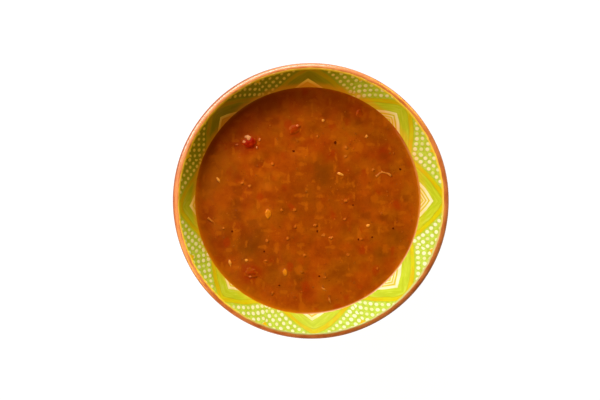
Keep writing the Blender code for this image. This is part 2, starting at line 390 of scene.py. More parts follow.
# Yellow lines on the white: how far in, half width and strength
for inset, half_width, strength in ((1.95, 0.40, 0.95), (3.45, 0.40, 0.90), (4.90, 0.45, 0.90)):
    line = (chevron + inset).maths("ABSOLUTE").eased(half_width + 0.22, half_width - 0.14)
    white = glaze.mix(line * strength, white, yellow)

# The field between the arms: rows of dots that follow the arms, in columns square to the rows
from_middle = fold * -1.0 + sector / 2.0
columns = (along - apex) * arm_slope + from_middle * painted_radius - first_column
rows = chevron - first_row
cell_column = (columns * (1.0 / dot_step)).maths("ROUND")
cell_row = (rows * (1.0 / row_step)).maths("ROUND")
in_row = cell_column * -dot_step + columns
over_row = cell_row * -row_step + rows
across_dot = in_row - over_row * arm_slope
up_dot = over_row + in_row * arm_slope
cell_sector = (turned * (2.0 / sector)).maths("FLOOR")
cell = glaze.node("ShaderNodeCombineXYZ", cell_column, cell_row, cell_sector)
chance = glaze.node("ShaderNodeTexWhiteNoise", cell, noise_dimensions="3D")
dot_radius = chance * dot_variety + dot_size - cell_column * dot_taper - cell_row * dot_taper
# Painted shade: the far side, turned away from the light, is painted darker and warmer, and its dots smaller.
shade_side = angle.towards(125.0).eased(0.30, 0.85)
across_dot, up_dot = across_dot * (1.0 / dot_width), up_dot * (1.0 / dot_height)
dot_shape = across_dot * across_dot + up_dot * up_dot
# No dot is cut by the line on which the rows of two arms meet.
first_beyond = first_column - first_row * arm_slope + painted_radius * sector / 2.0 * arm_slope * arm_slope
beyond = cell_column * dot_step - cell_row * (row_step * arm_slope) + first_beyond
dot_reach = dot_shape.maths("SQRT") - dot_radius + shade_side * 0.12 + beyond.eased(0.3, -0.3) * 2.0
dot_mask = dot_reach.eased(0.26, -0.34)
dot_rim = dot_reach.eased(0.60, 0.20)
blotch = glaze.clouds(true_place, 2.6)
field = glaze.mix(blotch.eased(0.36, 0.64), field_green, field_lime)
field = glaze.mix(dot_rim * 0.20, field, dot_shadow)
dots = glaze.mix(chance.eased(0.0, 0.5), dull_dot, bright_dot)
most_shaded = shade_side.maths("POWER", 1.6)
field = glaze.mix(most_shaded, field, shaded_field)
dots = glaze.mix(most_shaded, dots, shaded_dot)
field = glaze.mix(dot_mask, field, dots)
wedge = radius * from_middle - (radius - wedge_from) * 1.15
field = glaze.mix(wedge.eased(0.25, -0.25), field, wedge_gold)

# The bands laid one over the other, from the middle of an arm outward, and the thin green lines between them
# Painted shade on the white, the lime and the yellow on the side away from the light
white_in_shade = glaze.mix((chevron + 1.3).eased(-0.7, 0.5), core_white_in_shade, rim_white_in_shade)
white = glaze.mix(shade_side * 0.88, white, white_in_shade)
pale_lime = glaze.mix(shade_side, pale_lime, shaded_lime, blend="MULTIPLY")
yellow = glaze.mix(shade_side, yellow, shaded_yellow, blend="MULTIPLY")
colour = glaze.mix(chevron.eased(-0.15, 0.15), white, pale_lime)
at_top = (radius - top_yellow_from).eased(-0.3, 0.3)
colour = glaze.mix((band - yellow_from).eased(-0.18, 0.18).maths("MAXIMUM", at_top), colour, yellow)
in_field = (band - field_from).eased(-0.16, 0.16)
colour = glaze.mix(in_field, colour, field)
outline = (band - yellow_from).maths("ABSOLUTE").eased(0.40, 0.10)
outline = outline.maths("MAXIMUM", (band - field_from).maths("ABSOLUTE").eased(0.40, 0.10))
colour = glaze.mix(outline * 0.32, colour, outline_green)

# Soup has run up the glaze a little and left an orange film, with painted orange bounce light from the soup
# over it, most on the far side, in the shade.
true_x, true_y, _z = glaze.parts(true_place)
from_axis = (true_x * true_x + true_y * true_y).maths("SQRT")
film_reach = (glaze.clouds(true_place, 5.0, 3.0) - 0.5) * 2.4 + from_axis
film_and_glow = film_reach.eased(70.2, 67.2) * (angle.towards(120.0) * 0.34 + 0.34)
colour = glaze.mix(film_and_glow, colour, soup_film_and_glow)

# The glaze thins to a pale line and stops before the lip. The line is also a painted highlight, painted
# brighter on the far side than on the near side.
edge_drift = (glaze.clouds(true_place, 6.0, 3.0) - 0.5) * 0.9
edge_reach = angle.towards(75.0) * -0.25 + glaze_edge
border = from_axis + edge_drift - edge_reach
near_side = angle.towards(297.0).eased(0.30, 0.84)
pale_edge_and_highlight = glaze.mix(near_side, far_edge_highlight, near_edge_highlight)
colour = glaze.mix((border + 0.85).eased(-0.3, 0.3), colour, pale_edge_and_highlight)
clay_colour, clay_roughness = fired_clay(glaze)
on_clay = border.eased(-0.2, 0.2)
colour = glaze.mix(on_clay, colour, clay_colour)
roughness = glaze.mix(on_clay, glaze.clouds(true_place, 9.0) * 0.10 + 0.17, clay_roughness)
brush_relief = glaze.relief(stroke, 0.05)
dot_relief = glaze.relief(dot_mask * in_field, 0.12, brush_relief)
edge_relief = glaze.relief(on_clay, -0.10, dot_relief)
glaze.lay(colour, roughness, edge_relief)

bowl.data.materials.append(clay.look)
bowl.data.materials.append(glaze.look)
painted_edge = rim_radius - lip_outside + 0.35 * mm  # past the lip's crest, where both finishes are bare clay
for face in bowl.data.polygons:
    out = math.hypot(face.center.x, face.center.y)
    inside = face.normal.z > 0.0 and face.center.z > well_floor - 0.5 * mm
    face.material_index = 1 if inside and out < painted_edge else 0
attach(bowl, "root")
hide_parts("bowl")


# The soup.
# Thick, smooth tomato and lentil broth, ladled in hot. Its surface is nearly level, swells over what lies
# just under it and creeps up the wall; at the wall it is thin enough for the yellow glaze to show through.

soup_level = 47.55 * mm
soup_overlap = 0.06 * mm  # how far it reaches into the wall
creep_height = 1.05 * mm
creep_reach = 1.45 * mm
calm_width = 5.0 * mm  # over which the ripples die out towards the wall
swell_height, swell_length = 0.35 * mm, 17.0 * mm
ripple_height, ripple_length = 0.16 * mm, 7.5 * mm
pulp_height, pulp_length = 0.07 * mm, 2.6 * mm
soup_grid = 220
soup_grid_radius = 61.0 * mm
wall = bowl_inside(120)


def wall_radius(height):
    """Radius of the inside of the bowl at a height."""
    for low, high in zip(wall, wall[1:]):
        if low.z <= height <= high.z:
            return low.x + (high.x - low.x) * (height - low.z) / (high.z - low.z)


soup_edge = wall_radius(soup_level + creep_height) + soup_overlap
soup_middle = off_centre(soup_level)

# Small things at the surface: half sizes in millimetres and the share of the height that is under the soup
bit_kinds = {
    "lentil": ((3.1, 2.0, 1.1), 0.55),
    "rice": ((2.4, 0.9, 0.8), 0.45),
    "noodle": ((3.4, 0.8, 0.7), 0.55),
    "short_noodle": ((2.1, 0.8, 0.7), 0.60),
    "crumb": ((1.4, 1.1, 0.8), 0.50),
    "flake": ((1.9, 1.3, 0.6), 0.40),
}
# Those that can be told one by one: kind, x and y in millimetres, turn in degrees and how soaked with soup
told_bits = [
    ("lentil", -24.4, -7.4, 80.0, 0.55),
    ("lentil", -14.6, -42.2, 95.0, 0.25),
    ("rice", 17.9, 15.6, -20.0, 0.0),
    ("rice", -53.5, 11.8, -58.0, 0.1),
    ("rice", -47.0, -36.7, -75.0, 0.3),
    ("rice", 8.4, -52.6, -35.0, 0.7),
    ("rice", 11.8, -59.0, -72.0, 0.8),
    ("short_noodle", 41.2, 15.5, 25.0, 0.7),
    ("noodle", 45.6, 15.9, -26.0, 0.7),
    ("noodle", -57.4, -12.2, -50.0, 0.85),
    ("crumb", 7.9, 47.1, 15.0, 0.0),
    ("crumb", 33.6, 37.6, 60.0, 0.2),
    ("crumb", 21.5, 31.1, -55.0, 0.8),
    ("crumb", 21.2, 25.9, 40.0, 0.7),
    ("crumb", 34.8, -15.0, 15.0, 0.0),
    ("crumb", 21.0, -11.2, 45.0, 0.85),
    ("crumb", 12.8, -22.2, -10.0, 0.6),
    ("crumb", 8.2, -20.6, 20.0, 0.55),
    ("crumb", -37.3, -35.1, 10.0, 0.0),
    ("crumb", -39.6, 10.3, 30.0, 0.85),
    ("crumb", -35.4, 8.4, 70.0, 0.75),
    ("crumb", -4.8, -42.4, -30.0, 0.8),
    ("crumb", -51.0, -16.3, 0.0, 0.75),
    ("crumb", 37.8, 17.9, 20.0, 0.8),
]
# Chunks of tomato: x, y, half sizes, turn and the share under the soup
tomatoes = {
    "tomato_1": ((-34.9, 34.2), (6.2, 4.7, 2.8), 12.0, 0.55),
    "tomato_2": ((-8.9, 42.0), (5.2, 3.3, 2.4), 38.0, 0.58),
    "tomato_3": ((-34.8, -42.4), (6.2, 4.6, 2.6), 15.0, 0.66),
    "tomato_4": ((29.9, 51.2), (4.4, 3.4, 2.4), -35.0, 0.70),
}
tomato_soaked = {"tomato_1": 0.0, "tomato_2": 0.80, "tomato_3": 0.85, "tomato_4": 0.85}
# The rest are scattered: how many, how far out and how far from each other and from the tomatoes
scattered_bits = 22
scattered_kinds = ["crumb", "crumb", "crumb", "flake"]
scattered_soaked = 0.88
scattered_reach = 61.5
bit_gap, tomato_gap = 6.2, 3.1
draw = random.Random(41)


def clear_of_tomatoes(x, y, gap):
    for at, half, _turn, _sunk in tomatoes.values():
        if math.hypot(x - at[0], y - at[1]) < max(half) * 1.13 + gap:
            return False
    return True


bits = list(told_bits)
while len(bits) < len(told_bits) + scattered_bits:
    out = scattered_reach * math.sqrt(draw.random())
    turn = draw.uniform(0.0, 2.0 * math.pi)
    x, y = out * math.cos(turn), out * math.sin(turn)
    near = any(math.hypot(x - other[1], y - other[2]) < bit_gap for other in bits)
    if not near and clear_of_tomatoes(x, y, tomato_gap):
        bits.append((draw.choice(scattered_kinds), x, y, draw.uniform(-90.0, 90.0), scattered_soaked))


# The soup clings to what stands in it: x, y, height and reach of each collar
cling = 0.30  # share of what stands out that the soup climbs
collars = []
for at, half, _turn, sunk in tomatoes.values():
    collars.append((at[0], at[1], half[2] * (1.0 - sunk) * cling, 1.15 * half[0]))
for kind, x, y, _turn, _soaked in bits:
    half, sunk = bit_kinds[kind]
    collars.append((x, y, half[2] * (1.0 - sunk) * cling, 1.1 * half[1] + 0.8))


def soup_height(x, y):
    """Height of the surface at a place in metres."""
    swell = noise.noise(Vector((x, y, 0.0)) / swell_length)
    ripple = noise.noise(Vector((x, y, swell_length)) / ripple_length)
    pulp = noise.noise(Vector((x, y, 0.03)) / pulp_length)
    out = soup_edge - math.hypot(x - soup_middle.x, y - soup_middle.y)
    creep = creep_height * math.exp(-max(out, 0.0) / creep_reach)
    relief = swell_height * swell + ripple_height * ripple + pulp_height * pulp
    for at_x, at_y, height, reach in collars:
        across, up = x / mm - at_x, y / mm - at_y
        if abs(across) < 2.5 * reach and abs(up) < 2.5 * reach:
            relief += height * mm * math.exp(-(across * across + up * up) / (reach * reach))
    return soup_level + ramp(out, 0.0, calm_width) * relief + creep


soup = start(bpy.ops.mesh.primitive_circle_add, vertices=4 * soup_grid, radius=soup_grid_radius)
soup.location.z = soup_level
soup.name = "soup_surface"
bpy.ops.object.transform_apply()
bpy.ops.object.mode_set(mode="EDIT")
bpy.ops.mesh.select_all(action="SELECT")
bpy.ops.mesh.fill_grid(span=soup_grid)
bpy.ops.mesh.select_all(action="DESELECT")
open_rim = {"use_wire": False, "use_multi_face": False, "use_non_contiguous": False, "use_verts": False}
bpy.ops.mesh.select_non_manifold(**open_rim)
# Rings towards the wall, closer and closer, and then down along it with a little room to spare
edge_rings = [5.0, 4.0, 3.2, 2.6, 2.1, 1.7, 1.35, 1.05, 0.8, 0.6, 0.4, 0.2, 0.05, 0.0]
wall_rings = [47.0, 40.0, 32.0, 24.0, 17.0, 13.0, 11.0]
wall_room = 0.3 * mm
rings = [(soup_edge - inward * mm, soup_level) for inward in edge_rings]
rings += [(wall_radius(level * mm) - wall_room, level * mm) for level in wall_rings]
last_radius, last_level = soup_grid_radius, soup_level
for radius, level in rings:
    wider = radius / last_radius
    bpy.ops.mesh.extrude_edges_move()
    bpy.ops.transform.resize(value=(wider, wider, 1.0), center_override=(0.0, 0.0, last_level))
    bpy.ops.transform.translate(value=(0.0, 0.0, level - last_level))
    last_radius, last_level = radius, level
bpy.ops.mesh.extrude_edges_move()
bpy.ops.mesh.merge(type="CENTER")
bpy.ops.mesh.select_all(action="SELECT")
bpy.ops.mesh.normals_make_consistent(inside=False)
bpy.ops.object.mode_set(mode="OBJECT")
for corner in soup.data.vertices:
    corner.co += off_centre(corner.co.z)
    if corner.co.z > soup_level - 0.1 * mm:
        corner.co.z = soup_height(corner.co.x, corner.co.y)
bpy.ops.object.shade_smooth()


def keep(piece, name, amounts):
    """Keeps a number with each corner of a piece."""
    layer = piece.data.attributes.new(name, "FLOAT", "POINT")
    layer.data.foreach_set("value", amounts)


# Soft patches just under the surface: x, y, reach along and across, turn and strength
patches = {
    "pale": [
        (-39.8, 10.8, 2.0, 1.8, 0.0, 1.0),
        (-24.9, 7.7, 4.8, 2.6, -15.0, 0.8),
        (21.4, 30.4, 1.6, 2.6, 0.0, 0.8),
        (21.7, 25.0, 1.9, 2.4, 0.0, 0.8),
        (-9.2, 27.8, 3.2, 2.6, 0.0, 0.6),
        (-29.7, -14.1, 3.4, 1.4, -10.0, 0.6),
        (-30.0, -0.6, 1.4, 2.4, 0.0, 0.6),
        (-25.1, -7.4, 3.4, 4.8, 0.0, 0.7),
        (-14.8, -41.8, 3.2, 4.6, 0.0, 0.7),
        (32.3, -13.5, 3.0, 3.6, 0.0, 0.6),
        (-50.9, -3.3, 6.0, 9.0, 0.0, 0.25),
        (8.2, -52.7, 4.0, 3.0, -35.0, 0.5),
        (-12.2, -41.9, 3.0, 6.0, 0.0, 0.4),
    ],
    "herb": [
        (8.4, 14.8, 6.5, 9.0, 20.0, 0.9),
        (-43.4, -1.4, 3.0, 4.0, 0.0, 0.6),
        (-33.4, -25.9, 8.0, 9.5, 30.0, 0.85),
        (-22.2, -34.2, 5.0, 9.0, 10.0, 0.6),
        (36.5, -1.1, 7.0, 5.0, 0.0, 0.35),
        (42.4, -32.5, 6.5, 5.0, 0.0, 0.75),
        (-5.2, 4.5, 9.0, 16.0, -15.0, 0.3),
        (-43.9, -9.8, 5.0, 4.0, 0.0, 0.5),
        (51.3, -20.6, 4.0, 6.0, 15.0, 0.6),
        (19.5, -41.4, 5.0, 4.0, 0.0, 0.35),
    ],
    "red": [
        (-34.9, 33.4, 6.4, 5.0, 12.0, 1.2),
        (-9.0, 41.2, 5.6, 4.0, 25.0, 0.8),
        (-34.6, -42.2, 6.6, 5.2, 15.0, 1.1),
        (29.9, 50.8, 5.6, 4.6, -35.0, 0.7),
        (-43.4, 32.5, 4.5, 4.0, 0.0, 0.6),
        (3.8, 32.3, 9.0, 5.0, 0.0, 0.35),
        (43.8, 28.2, 6.0, 6.0, 0.0, 0.7),
        (11.4, 25.9, 3.0, 3.0, 0.0, 0.6),
        (-2.0, -55.7, 5.5, 4.5, 0.0, 0.5),
        (46.6, -37.3, 3.5, 3.5, 0.0, 0.5),
    ],
}
drift_length, drift_reach = 3.0, 1.6
for name, spots in patches.items():
    amounts = []
    for corner in soup.data.vertices:
        here = corner.co / mm
        there = here / drift_length
        drift = Vector((noise.noise(there), noise.noise(there + Vector((9.0, 0.0, 0.0))), 0.0)) * drift_reach
        amount = 0.0
        for x, y, reach, width, turn, strength in spots:
            away = here + drift - Vector((x, y, here.z))
            away.rotate(Matrix.Rotation(math.radians(-turn), 3, "Z"))
            amount = max(amount, strength * math.exp(-((away.x / reach) ** 2) - (away.y / width) ** 2))
        amounts.append(amount)
    keep(soup, name, amounts)


deep_broth, light_broth = (0.292, 0.0495, 0.0), (0.475, 0.1005, 0.001)
yellower, redder = (0.97, 1.12, 1.0), (1.03, 0.88, 1.0)  # by which the broth's colour is multiplied


def soup_colour(finish):
    """The broth's orange, clouded by fine pulp."""
    place = finish.place()
    stirred = finish.node("ShaderNodeVectorMath", place, finish.swirl(place, 9.0, 7.0), operation="ADD")
    slow = finish.clouds(place, 16.0) - 0.5
    patchy = finish.clouds(stirred, 5.5, 3.0) - 0.5
    fine = finish.clouds(place, 1.7) - 0.5
    shade = slow * 1.2 + patchy * 1.3 + fine * 0.4 + 0.5
    orange = finish.mix(shade.eased(-0.15, 1.15), deep_broth, light_broth)
    ripe = finish.clouds(finish.place(stretch=(1.0, 0.9, 6.0)), 10.0, 3.0).eased(0.34, 0.66)
    return finish.mix(1.0, orange, finish.mix(ripe, yellower, redder), blend="MULTIPLY")


middle_broth = (0.300, 0.051, 0.0)
herb_brown = (0.200, 0.047, 0.0)
tomato_stain = (0.35, 0.020, 0.0)
pale_pulp_stain = (0.62, 0.15, 0.004)
fleck_pale, speck_dark = (0.60, 0.15, 0.004), (0.19, 0.024, 0.0)
# Painted shadow of the far wall on the soup, and its darkest part against the wall
painted_penumbra, painted_wall_shadow = (0.230, 0.034, 0.0), (0.150, 0.019, 0.0)
thin_broth, thinner_broth, thinnest_broth = (0.50, 0.125, 0.001), (0.56, 0.160, 0.001), (0.66, 0.310, 0.008)
# Painted highlight on the soup's rim
painted_meniscus_highlight = (0.97, 0.55, 0.24)

broth = Finish("harira_broth")
place = broth.place()
x, y, _z = broth.parts(place)
x, y = x - soup_middle.x / mm, y - soup_middle.y / mm
inward = (x * x + y * y).maths("SQRT") * -1.0 + soup_edge / mm
colour = soup_colour(broth)
colour = broth.mix(inward.eased(22.0, 62.0) * 0.35, colour, middle_broth)
colour = broth.mix(broth.kept("herb") * 0.9, colour, herb_brown)
colour = broth.mix(broth.kept("red") * 0.85, colour, tomato_stain)
colour = broth.mix(broth.kept("pale") * 0.6, colour, pale_pulp_stain)


def sunken(size, stretch, share):
    """Soft-edged spots for pieces just under the surface: one in some of the cells of a random net."""
    ragged = broth.swirl(place, 2.4, 3.0)
    ragged = broth.node("ShaderNodeVectorMath", broth.place(stretch), ragged, operation="ADD")
    named = {"Vector": ragged, "Scale": 1.0 / size}
    spot = broth.node("ShaderNodeTexVoronoi", named=named, output="Distance")
    chance = broth.parts(Reading(broth, spot.socket.node.outputs["Color"]))[0]
    return spot.eased(0.36, 0.16) * chance.eased(1.0 - share, 1.02 - share)


# Net size, stretch, share of the cells with a piece in them, strength and colour
sunken_pieces = [
    (9.0, (1.0, 0.8, 2.0), 0.55, 0.55, (0.40, 0.034, 0.0)),
    (10.0, (0.8, 1.0, 3.0), 0.55, 0.55, (0.23, 0.042, 0.0)),
    (8.5, (1.0, 0.7, 2.5), 0.60, 0.60, (0.52, 0.116, 0.001)),
    (5.0, (0.5, 1.2, 2.0), 0.50, 0.50, (0.54, 0.128, 0.002)),
    (4.6, (1.3, 0.5, 3.5), 0.40, 0.50, (0.56, 0.135, 0.003)),
]
for size, stretch, share, strength, tint in sunken_pieces:
    colour = broth.mix(sunken(size, stretch, share) * strength, colour, tint)
flecks = broth.clouds(place, 0.9, 1.0).eased(0.66, 0.76) * broth.clouds(place, 9.0).eased(0.42, 0.60)
colour = broth.mix(flecks * 0.45, colour, fleck_pale)
specks = broth.clouds(broth.place(stretch=(1.0, 1.0, 3.0)), 1.2, 1.0).eased(0.70, 0.78)
colour = broth.mix(specks * 0.5, colour, speck_dark)
# At the wall it is thin and lighter, lighter still on the left and the right with painted bounce light from
# the lit wall, and darkened on the far side with painted shadow of the wall.
bearing = y.maths("ARCTAN2", x)
far_wall_shadow = bearing.towards(134.0).eased(0.70, 0.98)
# Painted bounce light from the lit wall on the left and the right, over the real thin edge
left_bounce_light = bearing.towards(222.0).eased(0.45, 0.80)
right_bounce_light = bearing.towards(6.0).eased(0.86, 0.985)
thin_and_bounce_light = left_bounce_light.maths("MAXIMUM", right_bounce_light) * 0.85 + 0.15
thin = broth.clouds(place, 5.0) * 1.2 + inward - 0.6
# Painted shadow of the far wall, reaching further in
dim = bearing.towards(98.0).eased(0.60, 0.95) * inward.eased(22.0, 9.0)
colour = broth.mix(dim * 0.40, colour, painted_penumbra)
colour = broth.mix(inward.eased(7.0, 0.5) * far_wall_shadow * 0.85, colour, painted_wall_shadow)
colour = broth.mix(thin.eased(5.5, 1.0) * thin_and_bounce_light * 0.50, colour, thin_broth)
colour = broth.mix(thin.eased(2.4, 0.8) * thin_and_bounce_light * 0.70, colour, thinner_broth)
colour = broth.mix(thin.eased(0.9, 0.1) * thin_and_bounce_light * 0.80, colour, thinnest_broth)
# Painted highlight along the soup's edge on the near side, where its rim catches the window light
highlight_side = bearing.towards(311.0).eased(0.66, 0.84)
colour = broth.mix(inward.eased(1.2, 0.3) * highlight_side * 0.65, colour, painted_meniscus_highlight)
skin = broth.relief(broth.clouds(place, 1.1), 0.05)
oily = inward.eased(1.6, 2.6) * 0.12 + 0.07
broth.lay(colour, broth.clouds(place, 4.0) * 0.08 + oily, skin)
soup.data.materials.append(broth.look)
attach(soup, "root")
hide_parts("soup")


# The tomato.
# Four soft chunks of peeled tomato, cooked until they are almost pulp. Each floats low, with a wet, uneven
# top over which the soup has closed at the sides.

deep_tomato, bright_tomato, soaked_tomato = (0.28, 0.005, 0.0), (0.41, 0.024, 0.0), (0.35, 0.026, 0.0)
bulge, bulge_length = 0.16, 4.5
crease, crease_length = 0.14, 1.7


def note_height(piece):
    """Keeps with each corner how far it stands above the soup, in millimetres."""
    corners = piece.data.vertices
    keep(piece, "above", [(corner.co.z - soup_height(corner.co.x, corner.co.y)) / mm for corner in corners])


def soak(piece, soaked):
    """Keeps with a piece how far soup has soaked in, from 0 to 1."""
    keep(piece, "soaked", [soaked] * len(piece.data.vertices))


def under_soup(finish, colour, bare, most):
    """A colour that turns to the soup's own below the height, in millimetres, at which a piece is bare."""
    ragged = (finish.clouds(finish.place(), 0.9) - 0.5) * bare * 1.2
    above = ragged + finish.kept("above") - finish.kept("soaked") * 0.20
    return finish.mix(above.eased(bare, 0.0) * most, colour, soup_colour(finish))


def soaked_colour(finish, fresh, stain_and_shade):
    """From a piece's own colour to that of one steeped in soup, different on each."""
    return finish.mix(finish.kept("soaked"), fresh, stain_and_shade)


tomato_red = Finish("cooked_tomato")
place = tomato_red.place()
flesh = tomato_red.mix(tomato_red.clouds(place, 1.8, 3.0).eased(0.30, 0.72), deep_tomato, bright_tomato)
flesh = under_soup(tomato_red, soaked_colour(tomato_red, flesh, soaked_tomato), 0.75, 0.75)
pulp = tomato_red.relief(tomato_red.clouds(place, 1.3, 3.0), 0.20)
tomato_red.lay(flesh, 0.38, pulp, shine=0.045)

chunks = []
for number, (name, (at, half, turn, sunk)) in enumerate(tomatoes.items()):
    chunk = start(bpy.ops.mesh.primitive_ico_sphere_add, subdivisions=6, radius=1.0)
    chunk.name = name + "_flesh"
    chunk.data.transform(Matrix.Diagonal((*half, 1.0)))
    for corner in chunk.data.vertices:
        here = corner.co / bulge_length + Vector((at[0], at[1], 0.0))
        fine = corner.co / crease_length + Vector((at[1], at[0], 0.0))
        corner.co *= 1.0 + bulge * noise.noise(here) + crease * noise.noise(fine)
    level = soup_height(at[0] * mm, at[1] * mm) / mm - collars[number][2]
    chunk.data.transform(Matrix.Rotation(math.radians(turn), 4, "Z"))
    chunk.data.transform(Matrix.Translation((at[0], at[1], level - half[2] * sunk)))
    chunk.data.transform(Matrix.Scale(mm, 4))
    bpy.ops.object.shade_smooth()
    note_height(chunk)
    soak(chunk, tomato_soaked[name])
    chunk.data.materials.append(tomato_red.look)
    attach(chunk, "root")
    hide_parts(name)
    chunks.append(chunk)


# The lentils.
# Split red lentils, swollen and soft: one side domed and one side flat, frayed at the edge. Most have melted
# into the broth; two whole ones lie at the surface.

spots = {kind: [] for kind in bit_kinds}
for kind, x, y, turn, soaked in bits:
    growth = draw.uniform(0.85, 1.15)
    tilt = draw.uniform(-8.0, 8.0)
    half, sunk = bit_kinds[kind]
    spots[kind].append((x, y, turn, tilt, [size * growth for size in half], sunk, soaked))


def top_height(x, y):
    """Height of the soup at a place, or of the tomato that stands out of it."""
    heights = [soup_height(x, y)]
    for chunk in chunks:
        hit, point, _normal, _face = chunk.ray_cast(Vector((x, y, bowl_height)), Vector((0.0, 0.0, -1.0)))
        if hit:
            heights.append(point.z)
    return max(heights)


def strew(name, pattern, places, unevenness, finish):
    """Copies one modelled bit, a millimetre in radius, to its places on the soup and joins the copies."""
    copies = []
    for x, y, turn, tilt, half, sunk, soaked in places:
        copy = pattern.copy()
        copy.data = pattern.data.copy()
        bpy.context.collection.objects.link(copy)
        for corner in copy.data.vertices:
            rough = noise.noise(corner.co * 1.7 + Vector((x, y, turn)))
            corner.co *= 1.0 + unevenness * rough
        copy.data.transform(Matrix.Diagonal((*half, 1.0)))
        copy.data.transform(Matrix.Rotation(math.radians(tilt), 4, "Y"))
        copy.data.transform(Matrix.Rotation(math.radians(turn), 4, "Z"))
        level = top_height(x * mm, y * mm) / mm
        copy.data.transform(Matrix.Translation((x, y, level - half[2] * sunk)))
        copy.data.transform(Matrix.Scale(mm, 4))
        soak(copy, soaked)
        copies.append(copy)
    bpy.data.objects.remove(pattern, do_unlink=True)
    bpy.ops.object.select_all(action="DESELECT")
    for copy in copies:
        copy.select_set(True)
    bpy.context.view_layer.objects.active = copies[0]
    bpy.ops.object.join()
    joined = bpy.context.object
    joined.name = name
    bpy.ops.object.shade_smooth()
    note_height(joined)
    joined.data.materials.append(finish.look)
    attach(joined, "root")
    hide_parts("soup")


fresh_lentil, soaked_lentil, mealy_lentil = (0.78, 0.255, 0.004), (0.50, 0.115, 0.001), (0.76, 0.25, 0.006)
lentil_flesh = Finish("lentil_flesh")
mealy = lentil_flesh.clouds(lentil_flesh.place(), 0.8, 3.0)
yellow = soaked_colour(lentil_flesh, fresh_lentil, soaked_lentil)
yellow = lentil_flesh.mix(mealy.eased(0.35, 0.7), yellow, mealy_lentil)
yellow = under_soup(lentil_flesh, yellow, 0.30, 0.85)
lentil_flesh.lay(yellow, 0.36, lentil_flesh.relief(mealy, 0.12), shine=0.15)

lentil = start(bpy.ops.mesh.primitive_uv_sphere_add, segments=24, ring_count=14, radius=1.0)
bpy.ops.object.mode_set(mode="EDIT")
bpy.ops.mesh.select_all(action="SELECT")
bpy.ops.mesh.bisect(plane_co=(0.0, 0.0, -0.35), plane_no=(0.0, 0.0, 1.0), clear_inner=True, use_fill=True)
bpy.ops.object.mode_set(mode="OBJECT")
strew("lentils", lentil, spots["lentil"], 0.22, lentil_flesh)


# The rice.
# Cooked grains of short rice, plump, tapered at one end and stained by the broth.

fresh_starch, soaked_starch, cloudy_starch = (0.86, 0.35, 0.045), (0.50, 0.115, 0.003), (0.82, 0.36, 0.055)
starch = Finish("stained_starch")
cloudy = starch.clouds(starch.place(), 0.7)
cream = soaked_colour(starch, fresh_starch, soaked_starch)
cream = starch.mix(cloudy.eased(0.4, 0.7) * 0.2, cream, cloudy_starch)
cream = under_soup(starch, cream, 0.12, 0.85)
starch.lay(cream, 0.34, starch.relief(cloudy, 0.06), shine=0.2)

lying = (0.0, math.pi / 2.0, 0.0)  # turned from upright to along x
grain = start(bpy.ops.mesh.primitive_uv_sphere_add, segments=14, ring_count=12, radius=1.0, rotation=lying)
bpy.ops.object.transform_apply()
bpy.ops.object.mode_set(mode="EDIT")
bpy.ops.mesh.select_all(action="DESELECT")
bpy.ops.object.mode_set(mode="OBJECT")
for corner in grain.data.vertices:
    corner.select = corner.co.x > 0.3
bpy.ops.object.mode_set(mode="EDIT")
bpy.ops.transform.resize(value=(1.0, 0.86, 0.86), center_override=(0.0, 0.0, 0.0))
bpy.ops.object.mode_set(mode="OBJECT")
for corner in grain.data.vertices:
    corner.co.x = math.copysign(abs(corner.co.x) ** 1.5, corner.co.x)
strew("rice", grain, spots["rice"], 0.12, starch)


# The noodles.
# Short cut vermicelli, curled as they cooked; only stretches of them show.

noodle_end = (-1.0, -0.12, 0.0)
cut_end = {"vertices": 10, "radius": 1.0, "fill_type": "NGON", "location": noodle_end, "rotation": lying}
noodle = start(bpy.ops.mesh.primitive_circle_add, **cut_end)
bpy.ops.object.transform_apply()
bpy.ops.object.mode_set(mode="EDIT")
bpy.ops.mesh.select_all(action="SELECT")
bpy.ops.transform.resize(value=(1.0, 0.92, 0.95), center_override=noodle_end)
bpy.ops.mesh.extrude_region_move(TRANSFORM_OT_translate={"value": (2.0, 0.0, 0.0)})
bpy.ops.mesh.select_all(action="SELECT")
bpy.ops.mesh.normals_make_consistent(inside=False)
for cut in range(1, 12):
    bpy.ops.mesh.select_all(action="SELECT")
    bpy.ops.mesh.bisect(plane_co=(-1.0 + cut / 6.0, 0.0, 0.0), plane_no=(1.0, 0.0, 0.0))
bpy.ops.object.mode_set(mode="OBJECT")
for corner in noodle.data.vertices:
    corner.co.y += 0.42 * math.sin(2.6 * corner.co.x + 0.6)
strew("noodles", noodle, spots["noodle"] + spots["short_noodle"], 0.10, starch)


# The crumbs.
# Scraps of onion, celery, chickpea and tomato skin, chopped small and cooked soft, just breaking the surface.

fresh_scrap, soaked_scrap, dull_scrap = (0.86, 0.33, 0.040), (0.50, 0.105, 0.001), (0.70, 0.23, 0.020)
scrap = Finish("vegetable_scraps")
uneven = scrap.clouds(scrap.place(), 0.8)
tawny = soaked_colour(scrap, fresh_scrap, soaked_scrap)
tawny = scrap.mix(uneven.eased(0.45, 0.75) * 0.2, tawny, dull_scrap)
tawny = under_soup(scrap, tawny, 0.18, 0.9)
scrap.lay(tawny, 0.45, scrap.relief(uneven, 0.08), shine=0.06)


def crumb_pattern():
    return start(bpy.ops.mesh.primitive_ico_sphere_add, subdivisions=2, radius=1.0)


def speck_pattern():
    return start(bpy.ops.mesh.primitive_uv_sphere_add, segments=8, ring_count=5, radius=1.0)


strew("crumbs", crumb_pattern(), spots["crumb"], 0.45, scrap)


